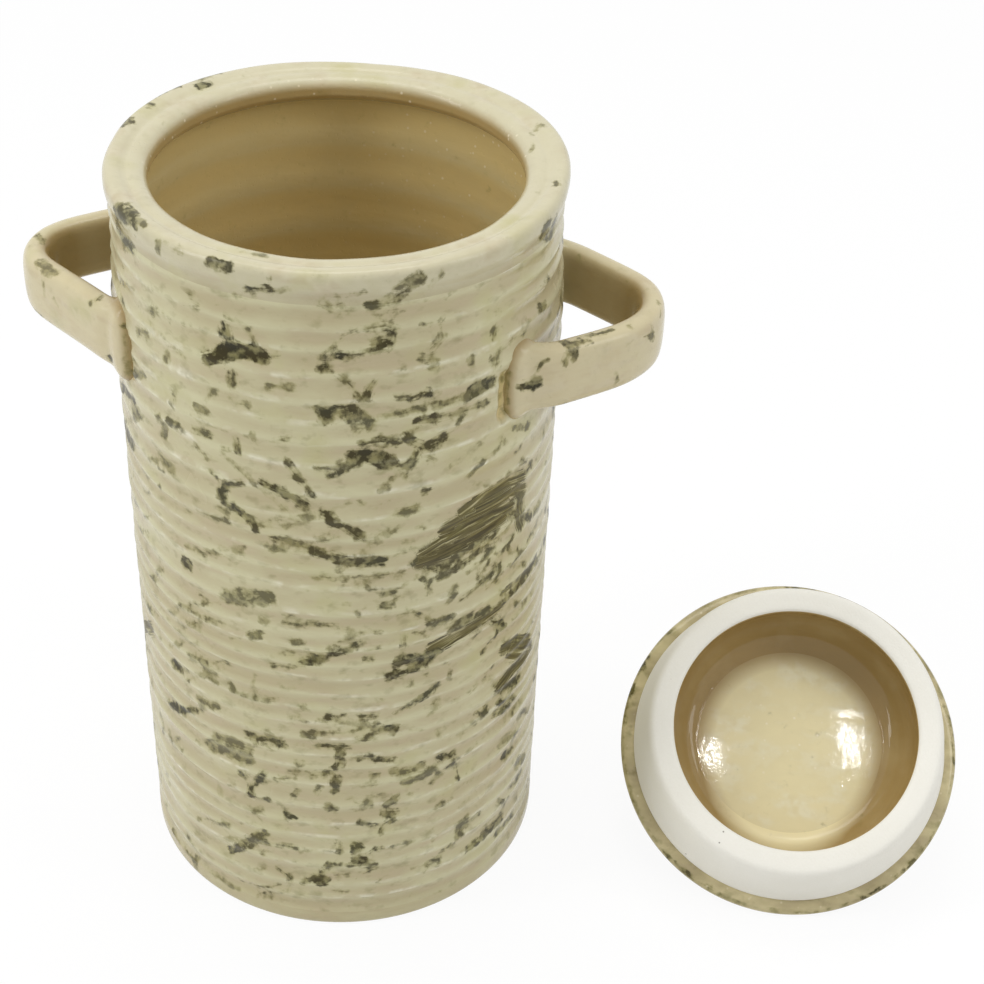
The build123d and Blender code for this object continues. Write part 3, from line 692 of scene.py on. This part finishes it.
squarer = held((rim_height - 252) / 4) * held((rim_reach - 60) / 7)
rim_reach_new += back_corners * squarer * np.abs(np.sin(2 * rim_angle)) * (rim_angle > 0)
rim_reach_new *= 1 + 0.002 * held((rim_height - 253) / 4) * waver(rim_angle, 0, 21)
rim_places[:, :2] *= (rim_reach_new / rim_reach)[:, None]
rim_places[:, 2] += 0.25 * held((rim_height - 255) / 4) * (waver(rim_angle, 0, 33) - 0.9)
set_places(rim.data, rim_places)
# The lip's inner face gets painted shade just under its edge, and painted glints.
store(
    rim.data,
    depth=held((256 - rim_height) / 5) * 0.7 + 0.1,
    warm=held((58.6 - rim_reach) / 1.8) * held((259 - rim_height) / 3),
    glint=0.7 * held((59 - rim_reach) / 2),
)
rim_marks = [
    (2.6, 0.6, (140, 259.5), (134, 259)), (2.4, 0.75, (158, 258.5), (152, 259.5), (147, 259.8)),
    (3, 0.85, (170, 257.5), (166, 258)), (2.8, 0.8, (-109.5, 260), (-105, 259.8)),
    (2, 0.5, (-123, 260.5), (-117, 260)), (1.2, 0.5, (-141, 257), (-138, 258)),
    (1, 0.6, (-139.5, 255.5), (-135, 256)),
]
rim_strokes = round_jar(rim_marks) + [
    (3, 0.85, [(-51.8, 39.6, 260.9), (-50.6, 41.4, 260.9)]),
    (2.6, 0.7, [(-62.5, 21.9, 260.9), (-63.6, 24.2, 260.9)]),
    (2.6, 0.75, [(-65.7, 10.6, 261), (-66.5, 13.4, 260.8)]),
    (1.2, 0.5, [(-58.5, 25.9, 260.8), (-57.9, 26.1, 260.7)]),
    (1.2, 0.55, [(-56.9, 14.2, 258.6), (-56.9, 13.5, 256.4)]),
    (1.8, 0.75, [(-55.4, -41.2, 258.9), (-52, -45.6, 258.8), (-48.2, -49.6, 259.2)]),
    (2.2, 0.5, [(-53.2, -42.4, 260.4), (-49.6, -46.2, 260.8), (-45, -50.4, 260.6)]),
    (1.4, 0.65, [(-52.6, -39.8, 261), (-48.6, -44.6, 261)]),
    (1.2, 0.5, [(-50.2, -47.8, 259.4), (-49.8, -48.6, 256)]),
    (1.6, 0.5, [(-39.7, -56.3, 258.8), (-39.8, -55.8, 255)]),
    (2, 0.45, [(-15.5, -58.8, 260.5), (-12.1, -59.2, 260.5), (-8.6, -59.7, 260.5)]),
    (1.8, 0.8, [(-22.7, -65.1, 258.9), (-20.9, -65.6, 258.5)]),
    (1, 0.5, [(-5.3, -68.8, 258.9), (-5.3, -68.8, 258.2)]),
    (1.8, 0.35, [(55.1, 28.2, 260.6), (57, 33.4, 260.9)]),
    (1.2, 0.6, [(55.9, 17.2, 259.6), (56.4, 21, 260.2)]),
    (1.2, 0.6, [(65.7, -3, 260.9), (65.9, -5, 260.9)]),
]
brush(rim.data, jar_strokes + rim_strokes)
rim.data.materials.append(
    glaze_paint("rim_glaze", tone(186, 176, 142), tone(207, 200, 169), tone(186, 161, 108), 0.2)
)
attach(rim, "jar")
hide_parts("mouth_rim")

# Jar floor: the slab that the wall was drawn up from. Its foot was wiped clean of glaze before the
# firing, and its inside shows the spiral that the potter's finger left.
floor_outline = [
    (0, 0), (62, 0), (66.6, 0), (67.6, 0.3), (68.3, 0.9), (68.8, 1.7), (69, 2.8), (69, 7), (0, 7),
]
floor_disc = mesh_object(turned(floor_outline, (20, 1, 0, 0, 0, 0, 1, 44), 120, 80), "floor_disc")
floor_places = places_of(floor_disc.data)
floor_reach, floor_angle = around(floor_places)
floor_top = (floor_places[:, 2] > 6.9) & (floor_reach < 52)
spiral_pitch, spiral_depth = 6.5, 0.25
floor_wave = np.cos(2 * math.pi * floor_reach / spiral_pitch + floor_angle)
floor_places[:, 2] += np.where(floor_top & (floor_reach > 3), spiral_depth * floor_wave - spiral_depth, 0)
set_places(floor_disc.data, floor_places)
# The floor inside the jar is browned all over as painted shade.
store(
    floor_disc.data,
    depth=np.where(floor_top, 0.5 + 0.4 * floor_wave, 0.8),
    warm=np.where(floor_top, 1, 0.05),
    clean=np.where(floor_top, 1, 0),
    bare=held(1.6 - floor_places[:, 2]),
)
brush(floor_disc.data, jar_strokes)


def clay_shader(start):
    """Pale unglazed stoneware: a fine dry grain and a few grey flecks."""
    place = own_place(start)
    grain = clouds(start, place, 1400, 3)
    patch = clouds(start, place, 45, 2)
    colour = (patch * 0.6 + grain * 0.5 - 0.05).held().mixed(tone(238, 235, 223), tone(250, 248, 240))
    colour = ((0.04 - cells(start, place, 110)) * 60).held().mixed(colour, tone(150, 146, 138))
    normal = start.node("ShaderNodeBump", values={"Strength": 0.5, "Distance": 0.0002, "Height": grain})
    return start.node("ShaderNodeBsdfPrincipled", values={
        "Base Color": colour, "Roughness": 0.85, "Normal": normal, "Specular IOR Level": 0.25,
    })


def half_glazed_paint(name, thick, thin, shade_and_pool_tone, gloss, bumps):
    """Glaze, and bare clay where the mesh says bare, with the uneven edge of a wiped glaze."""
    material, start = new_paint(name)
    glazed = glaze_shader(start, thick, thin, shade_and_pool_tone, gloss, 0.05, bumps)
    edge = clouds(start, own_place(start), 160, 2)
    wiped = ((attribute(start, "bare") + (edge - 0.5) * 0.5 - 0.5) * 9).held()
    both = start.node("ShaderNodeMixShader", values={0: wiped, 1: glazed, 2: clay_shader(start)})
    start.node("ShaderNodeOutputMaterial", values={0: both})
    return material


floor_disc.data.materials.append(
    half_glazed_paint("foot_glaze", jar_thick, jar_thin, tone(213, 191, 130), jar_gloss, 1)
)
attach(floor_disc, "jar")
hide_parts("jar_floor")

# Handles: a strap of clay on edge, bent to a loop and pressed on the wall with the thumbs. Each end is
# smeared out to a tab, and the glaze fills the crease round it.
strap_height = 21.2
strap_thickness = 8.8
strap_steps = 72
strap_squareness, tab_squareness = 3.6, 2.9     # 2 is round, more is squarer
flare_start, flare_growth, waist = 0.72, 1.6, 1
tab_seat = 66.4
clay_grain, clay_rounds = 0.75, 15


def strap_frames(loop, height):
    """Places along a smooth loop through (x, y) points: the middle, and the way that the strap runs."""
    points = [Vector((x, y, height)) for x, y in loop]
    frames = []
    for step in range(strap_steps + 1):
        share = step / strap_steps * (len(points) - 1)
        number = min(int(share), len(points) - 2)
        t = share - number
        before = points[max(number - 1, 0)]
        here = points[number]
        there = points[number + 1]
        after = points[min(number + 2, len(points) - 1)]
        run = there - before
        bend = 2 * before - 5 * here + 4 * there - after
        twist = 3 * here - before - 3 * there + after
        middle = 0.5 * (2 * here + run * t + bend * t**2 + twist * t**3)
        ahead = 0.5 * (run + 2 * bend * t + 3 * twist * t**2)
        frames.append((middle, ahead.normalized()))
    return frames


def strap_matrix(middle, ahead, thickness, height):
    """From a unit ring to the strap's cut at one place: X is its thickness, Y its height."""
    up = Vector((0, 0, 1))
    across = ahead.cross(up).normalized()
    turn = Matrix((across, up, ahead)).transposed().to_4x4()
    size = Matrix.Diagonal((thickness * mm / 2, height * mm / 2, mm, 1))
    return Matrix.Translation(middle * mm) @ turn @ size


def squared(corner, power):
    """A point of a ball or ring moved out towards the corners of the box round it."""
    return corner / sum(abs(side) ** power for side in corner) ** (1 / power)


def handle_form(loop, height, root_height, tabs):
    """The strap and its tabs as closed forms that run into each other."""
    form = bmesh.new()
    ring = bmesh.ops.create_circle(form, cap_ends=True, segments=28, radius=1)["verts"]
    for corner in ring:
        corner.co = squared(corner.co, strap_squareness)
    cap = form.faces[:]
    last = Matrix.Identity(4)
    for number, (middle, ahead) in enumerate(strap_frames(loop, height)):
        share = abs(2 * number / strap_steps - 1)
        flare = max(0, (share - flare_start) / (1 - flare_start)) ** 2
        cut = strap_matrix(
            middle, ahead, strap_thickness + flare_growth * flare,
            strap_height + (root_height - strap_height) * flare - waist * (1 - share),
        )
        if number:
            grown = bmesh.ops.extrude_face_region(form, geom=cap)["geom"]
            cap = [item for item in grown if isinstance(item, bmesh.types.BMFace)]
            if number > 1:
                bmesh.ops.delete(form, geom=old_cap, context="FACES_ONLY")
        bmesh.ops.transform(form, matrix=cut @ last.inverted(), verts=cap[0].verts[:])
        last = cut
        old_cap = cap
    for angle, drop, width, tall, lift in tabs:
        pad = bmesh.ops.create_icosphere(form, subdivisions=4, radius=1)["verts"]
        for corner in pad:
            corner.co = squared(corner.co, tab_squareness)
            corner.co.x = max(corner.co.x, 0.25 * corner.co.x)
        seat = (
            Matrix.Rotation(math.radians(angle), 4, "Z")
            @ Matrix.Translation(Vector((tab_seat, 0, height - drop)) * mm)
            @ Matrix.Diagonal((lift * mm, width * mm / 2, tall * mm / 2, 1))
        )
        bmesh.ops.transform(form, matrix=seat, verts=pad)
    return form


def fused(piece):
    """Grows the piece's forms into one skin, with soft creases."""
    remesh = piece.modifiers.new("grown_together", "REMESH")
    remesh.mode = "VOXEL"
    remesh.voxel_size = clay_grain * mm
    soften = piece.modifiers.new("thumbed", "SMOOTH")
    soften.factor = 0.5
    soften.iterations = clay_rounds
    whole = bpy.data.meshes.new_from_object(piece.evaluated_get(bpy.context.evaluated_depsgraph_get()))
    piece.modifiers.clear()
    piece.data = whole
    for face in whole.polygons:
        face.use_smooth = True


def strap_depth_and_shade(mesh, side):
    """Lays the glaze thick in the crease at the wall, and paints shade in that crease and on the strap's
    inner face.
    """
    reach = around(places_of(mesh))[0]
    inward = -rows_of(mesh, "normal")[:, 0] * side
    crease = held(1 - (reach - wall_radius) / 2.2)
    # Painted shade on the face that turns towards the jar, and in the crease.
    shaded_inner_face = np.clip(inward * 1.3, 0, 0.95) * held((reach - 69) / 4)
    store(mesh, depth=crease * 0.8 + 0.15, warm=held(shaded_inner_face + 0.7 * crease))


strap_glaze = glaze_paint("strap_glaze", tone(198, 180, 140), tone(212, 201, 165), tone(160, 136, 88), 0.2)


def handle(name, loop, height, root_height, tabs, side, strokes):
    """A whole handle. Each tab is an angle, a drop, a width, a height and how far it stands out, side is
    1 on the right and -1 on the left, and strokes are those on the handle alone."""
    piece = mesh_object(handle_form(loop, height, root_height, tabs), name)
    fused(piece)
    strap_depth_and_shade(piece.data, side)
    brush(piece.data, jar_strokes + strokes)
    piece.data.materials.append(strap_glaze)
    return piece


right_loop = [
    (58, -32.6), (62.5, -32.4), (66.6, -31.4), (70.9, -29.6), (75.5, -26.3), (80.1, -22.9), (84.6, -19.4),
    (88.6, -15.9), (91.8, -12.2), (94.4, -8.2), (96.2, -4), (96.8, 0.6), (96.5, 5.2), (95, 9.8),
    (92.3, 13.6), (88.7, 16.9), (84.6, 20), (80.1, 23.3), (75.5, 26.6), (70.9, 29.7), (66.6, 31.5),
    (62.5, 32.4), (58, 32.6),
]
right_tabs = [(-28.9, 0.8, 13.8, 27.5, 6.9), (28.9, 0.2, 14, 26.5, 6.9)]
right_strokes = [
    (3.8, 0.95, [(61.5, -40.6, 211.6), (63.4, -37.6, 211.3), (65.7, -36.3, 212.8)]),
    (1.6, 0.7, [(65.5, -36.3, 215.9), (66.5, -36, 219), (68.4, -35.1, 219.7)]),
    (2.4, 0.85, [(73.4, -33.1, 217.6), (74.1, -32.5, 219.7), (75.6, -30.6, 220.8)]),
    (2.2, 0.8, [(72.6, -27.9, 221.9), (74.5, -31.2, 221)]),
    (2, 0.75, [(74.8, -28.6, 221.9), (77.6, -26.9, 221.8), (79.8, -24.9, 221.9)]),
    (1.8, 0.7, [(79.1, -24, 221.9), (82.4, -21.1, 221.9), (85.9, -18.8, 221.9)]),
    (1.5, 0.6, [(76.2, -25.1, 221.9), (79.6, -22.2, 221.9)]),
    (1.5, 0.6, [(76.3, -31, 219.4), (75.3, -31.9, 218.1)]),
    (1.6, 0.75, [(97.7, -10.9, 220.9), (98.6, -11.2, 218)]),
    (2.2, 0.75, [(97, -13.9, 217), (98.7, -11, 216.4)]),
    (1.6, 0.8, [(98.6, -11.3, 218.4), (98.8, -10.7, 214.9)]),
    (1.5, 0.7, [(98.5, 0.6, 221.8), (100.5, -4.4, 220.1)]),
    (1.5, 0.35, [(90.7, -15.6, 221.9), (92.3, -16.2, 221.7)]),
    (1.2, 0.6, [(87.7, 12.4, 220.6), (88.1, 11.7, 220.3)]),
    (1.5, 0.4, [(88.3, -22.2, 208.4), (89, -21.7, 205.6)]),
    (1.2, 0.4, [(71.7, 24.7, 220.8), (71.8, 23.9, 219.9)]),
    (0.9, 0.5, [(73, -32, 201.5), (80, -26.8, 201.5), (87, -21.6, 202), (93, -16, 203), (97.5, -9, 204)]),
]
right_strap = handle("right_strap", right_loop, 211.3, 24.2, right_tabs, 1, right_strokes)
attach(right_strap, "jar")
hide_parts("right_handle")

left_loop = [
    (-58.3, -33.4), (-62.1, -32.6), (-65.6, -30.9), (-71.3, -26.4), (-77.2, -21.8), (-83.2, -17.2),
    (-88.8, -12.7), (-92, -9.6), (-94.1, -6.3), (-95.3, -2.7), (-95.5, 1.2), (-94.8, 5.1), (-93, 9),
    (-89.2, 13.6), (-83, 18.6), (-77.2, 22.8), (-71.3, 27), (-65.6, 31), (-62.1, 32.7), (-58.3, 33.4),
]
left_tabs = [(210.8, 0.9, 14.6, 27.5, 6.7), (149.2, 0, 14.6, 26.5, 6.7)]
left_strokes = [
    (2.8, 0.5, [(-96.5, 2.8, 223.5), (-93.9, -0.6, 223.5)]),
    (3.4, 0.4, [(-91, -13.6, 223.3), (-87.5, -15.7, 223.4), (-83.8, -18.7, 223.4)]),
    (2.8, 0.3, [(-87.9, -17.7, 222.4), (-85.6, -19.1, 222.8)]),
    (1.5, 0.5, [(-83.9, -22.1, 215.5), (-82.8, -22.9, 214)]),
    (1.2, 0.4, [(-69.7, -31.9, 222.5), (-69.2, -32.6, 222.3)]),
    (1.9, 0.85, [(-67.2, -31.8, 223.4), (-66.5, -30, 223.5)]),
    (2.3, 0.9, [(-64.3, -36.6, 205.6), (-63, -37.9, 205.9)]),
    (1.5, 0.6, [(-57.4, -41.3, 220.9), (-56.6, -41.1, 220.5)]),
    (1.5, 0.35, [(-88.4, -18.5, 219), (-88.6, -18.4, 214.6)]),
    (0.9, 0.55, [(-97, -9, 205.5), (-89.4, -17.7, 204.5), (-79.2, -25.5, 203.8), (-65, -36.5, 203.4)]),
]
left_strap = handle("left_strap", left_loop, 213.1, 23.8, left_tabs, -1, left_strokes)
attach(left_strap, "jar")
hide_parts("left_handle")

# Lid cap: the lid was thrown as a shallow cone with a thin brim. It lies upside down, leaning on the
# brim's front edge and on its knob. The floor of its hollow is glazed.
lid_low, lid_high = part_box("lid_dome")
lid_lean = math.radians(34.5)
brim_radius = (lid_high[0] - lid_low[0]) / 2 / mm
brim_half = 2.3
lid_height = (brim_radius - brim_half) * math.sin(lid_lean) + brim_half * math.cos(lid_lean) + brim_half
lid_back = 8                                    # how far the lid's middle lies behind the jar's
lid_place = Vector(((lid_low[0] + lid_high[0]) / 2, lid_back * mm, lid_height * mm))
lid_matrix = Matrix.Translation(lid_place) @ Matrix.Rotation(lid_lean, 4, "X")
lid_ring_pitch, lid_ring_depth = 5.5, 0.22
cap_outline = [
    (0, 6), (32.8, 6), (32.8, 0.3), (33.4, 0), (57.8, 0), (59.4, -0.5), (60.3, -1.5), (60.35, -2.6),
    (59.7, -3.9), (58.3, -4.7), (52, -5.9), (43, -7.3), (35, -8.15), (26, -8.7), (17, -8.75), (12, -8.6),
    (0, -8.6),
]
cap_form = turned(cap_outline, (30, 1, 0, 4, 1, 1, 1, 1, 1, 4, 5, 5, 5, 5, 2, 3), 160, 160)
cap = mesh_object(cap_form, "lid_cap")
cap_places = places_of(cap.data)
cap_reach, cap_angle = around(cap_places)
cap_floor = cap_places[:, 2] > 5.9
cap_top = (cap_places[:, 2] < -4.8) & (cap_reach > 12.5)
cap_wave = np.cos(2 * math.pi * (cap_reach + 0.8 * waver(cap_angle, 0, 4)) / lid_ring_pitch)
cap_places[:, 2] += np.where(cap_top, lid_ring_depth * (1 - cap_wave), 0)
set_places(cap.data, cap_places)
cap.data.transform(lid_matrix)


def dish_shade_and_pool(places):
    """How much painted shade, with some thicker glaze, browns the dish: none on the floor, and it starts
    further out towards the front.
    """
    pool = np.hypot(places[:, 0], np.where(places[:, 1] < 0, 0.74 * places[:, 1], places[:, 1]))
    return held((pool - 26.5) / 6)


# The dish's sides are browned as painted shade, and its floor gets painted glints.
store(
    cap.data,
    depth=np.where(cap_floor, 0.3, np.where(cap_top, 0.5 - 0.4 * cap_wave, 0.75)),
    warm=np.where(cap_floor, dish_shade_and_pool(cap_places), 0.1),
    glint=np.where(cap_floor, np.clip(1.3 - cap_reach / 20, 0, 0.9), 0.3),
    clean=np.where(cap_floor, 1, 0),
)


def on_lid(angle, reach, height):
    """A place in millimetres on the lying lid, from degrees round its axis, a distance and a height."""
    here = math.radians(angle)
    return tuple(lid_matrix @ (Vector((reach * math.cos(here), reach * math.sin(here), height)) * mm) / mm)


def round_lid(marks):
    """Marks drawn as degrees round the lid and millimetres from its axis, as strokes on its top."""
    strokes = []
    for width, strength, *points in marks:
        path = [
            on_lid(angle, reach, -4.7 - 3.5 * min(1, max(0, (58.3 - reach) / 24)))
            for angle, reach in points
        ]
        strokes.append((width, strength, path))
    return strokes


brim_strokes = []
for reach, width, strength in ((59.9, 0.8, 0.75), (56.6, 1, 0.1)):
    for angle in range(0, 360, 12):
        weight = strength * (0.55 + 0.45 * math.cos(angle * 2.7))
        brim_strokes.append((width, weight, [on_lid(end, reach, -0.8) for end in (angle, angle + 12)]))
lid_strokes = round_lid(scattered_marks(31, 110, (0, 360), (16, 60))) + brim_strokes
brush(cap.data, lid_strokes)
cap.data.materials.append(
    glaze_paint("lid_glaze", tone(162, 150, 112), tone(249, 237, 190), tone(163, 137, 86), 0.05, 0.6, 0.16)
)
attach(cap, "lid")
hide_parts("lid_dome")

# Lid ring: the collar that drops into the mouth. Outside and on its face it is bare clay, which can't
# stick to the rim in the kiln, and the hollow inside it is glazed.
ring_outline = [
    (32.8, 0), (55.2, 0), (55.7, 0.5), (55.7, 2.2), (55.2, 3.4), (54.9, 4.4), (51.6, 25.2), (50.9, 26.9),
    (49.8, 27.8), (48.6, 28.05), (44, 28.05), (43, 27.75), (42.4, 27), (42.3, 25.8), (43.1, 23.2), (43.4, 20),
    (43.1, 17), (42.2, 14.2), (40.6, 11.2), (38.6, 8.75), (36.8, 7.25), (35.2, 6.4), (33.9, 6.06),
    (32.8, 6), (32.8, 0),
]
ring_cuts = [2, 0, 1, 0, 0, 8, 1, 1, 1, 3, 1, 1, 1, 2, 2, 2, 2, 2, 2, 2, 2, 1, 1, 1]
ring = mesh_object(turned(ring_outline, ring_cuts, 160, 160), "lid_ring")
ring_places = places_of(ring.data)
ring_height = ring_places[:, 2]
ring_reach = around(ring_places)[0]
hollow = (ring_reach < 43.6) & (ring_height < 27.2)
# The glazed hollow gets painted shade, growing towards the ring's face.
store(
    ring.data,
    bare=np.where(hollow, 0, 1),
    depth=held((ring_height - 8) / 10) * 0.8 + 0.15,
    warm=np.where(hollow, np.maximum(dish_shade_and_pool(ring_places), held((ring_height - 9) / 6)), 0.3),
    clean=np.ones(len(ring_places)),
)
ring.data.transform(lid_matrix)
ring.data.materials.append(
    half_glazed_paint("ring_clay", tone(236, 223, 178), tone(249, 237, 190), tone(163, 137, 86), 0.05, 0.16)
)
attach(ring, "lid")
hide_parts("lid_flange")

# Lid knob: a turned grip with a narrow neck, set on the middle of the lid. The photograph hides it
# under the lid, so it is a plain one of this kind.
knob_outline = [
    (0, -8), (12.6, -8), (12.2, -9.2), (11.2, -11), (10.2, -13.4), (10, -15.6), (10.7, -18.6),
    (12.6, -22.2), (15, -25.6), (16.5, -28.3), (17, -31), (16.5, -33.2), (15.1, -34.8), (12.6, -35.6),
    (9, -35.7), (4, -35.55), (0, -35.5),
]
knob = mesh_object(turned(knob_outline, [1, 1] + [2] * 14, 60, 60), "lid_grip")
knob.data.transform(lid_matrix)
knob_size = len(knob.data.vertices)
store(knob.data, depth=np.full(knob_size, 0.35), warm=np.zeros(knob_size))
brush(knob.data, lid_strokes)
knob.data.materials.append(
    glaze_paint("knob_glaze", tone(181, 168, 128), tone(203, 197, 160), tone(180, 156, 110))
)
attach(knob, "lid")
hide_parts("lid_knob")

# Studio: a plain pale table top under soft light from boxes on both sides and above, as for a
# catalogue picture. Two small strips make the glints in the lid.
table = bpy.data.meshes.new("table_top")
table_form = bmesh.new()
bmesh.ops.create_grid(table_form, x_segments=1, y_segments=1, size=4)
table_form.to_mesh(table)
table_form.free()
table_top = placed("table_top", table)
table_paint, start = new_paint("table_paint")


def shown_white(start):
    """1 for the rays that show the background itself: straight, in a shine or through glass."""
    straight, shine, through = (start.node("ShaderNodeLightPath", output=ray) for ray in (0, 3, 6))
    return (straight + shine + through).held()


matt = start.node("ShaderNodeBsdfDiffuse", values={"Color": tone(238, 238, 238)})
bright = start.node("ShaderNodeEmission", values={"Color": (1, 1, 1, 1), "Strength": 1.02})
start.node("ShaderNodeOutputMaterial", values={0: start.node(
    "ShaderNodeMixShader", values={0: shown_white(start) * 0.9, 1: matt, 2: bright}
)})
table.materials.append(table_paint)

world = bpy.data.worlds.new("studio")
bpy.context.scene.world = world
world.use_nodes = True
world.node_tree.nodes.clear()
sky = Flow(world.node_tree)
air = sky.node("ShaderNodeBackground", values={
    "Color": (1, 1, 1, 1), "Strength": shown_white(sky) * 0.43 + 0.57
})
sky.node("ShaderNodeOutputWorld", values={0: air})


def light_box(name, place, aim, width, height, power):
    """A rectangular lamp that looks at aim. Sizes are in metres and power in watts."""
    lamp = bpy.data.lights.new(name, "AREA")
    lamp.shape = "RECTANGLE"
    lamp.size = width
    lamp.size_y = height
    lamp.energy = power
    holder = placed(name, lamp)
    holder.location = place
    holder.rotation_euler = (Vector(aim) - Vector(place)).to_track_quat("-Z", "Y").to_euler()


middle = (0.05, 0, 0.12)
lid_middle = (0.16, 0, 0.05)
light_box("left_box", (-1, -0.5, 0.85), middle, 0.3, 0.8, 4.6)
light_box("right_box", (1, -0.2, 0.9), middle, 0.25, 0.7, 2.3)
light_box("top_strip_left", (0.2, -0.53, 1.3), lid_middle, 0.008, 0.022, 0.09)
light_box("top_strip_right", (0.341, -0.5, 1.3), lid_middle, 0.006, 0.05, 0.14)
light_box("top_box", (-0.1, 0.25, 1.4), middle, 0.8, 0.6, 5.4)

bpy.context.scene.view_settings.view_transform = "Standard"
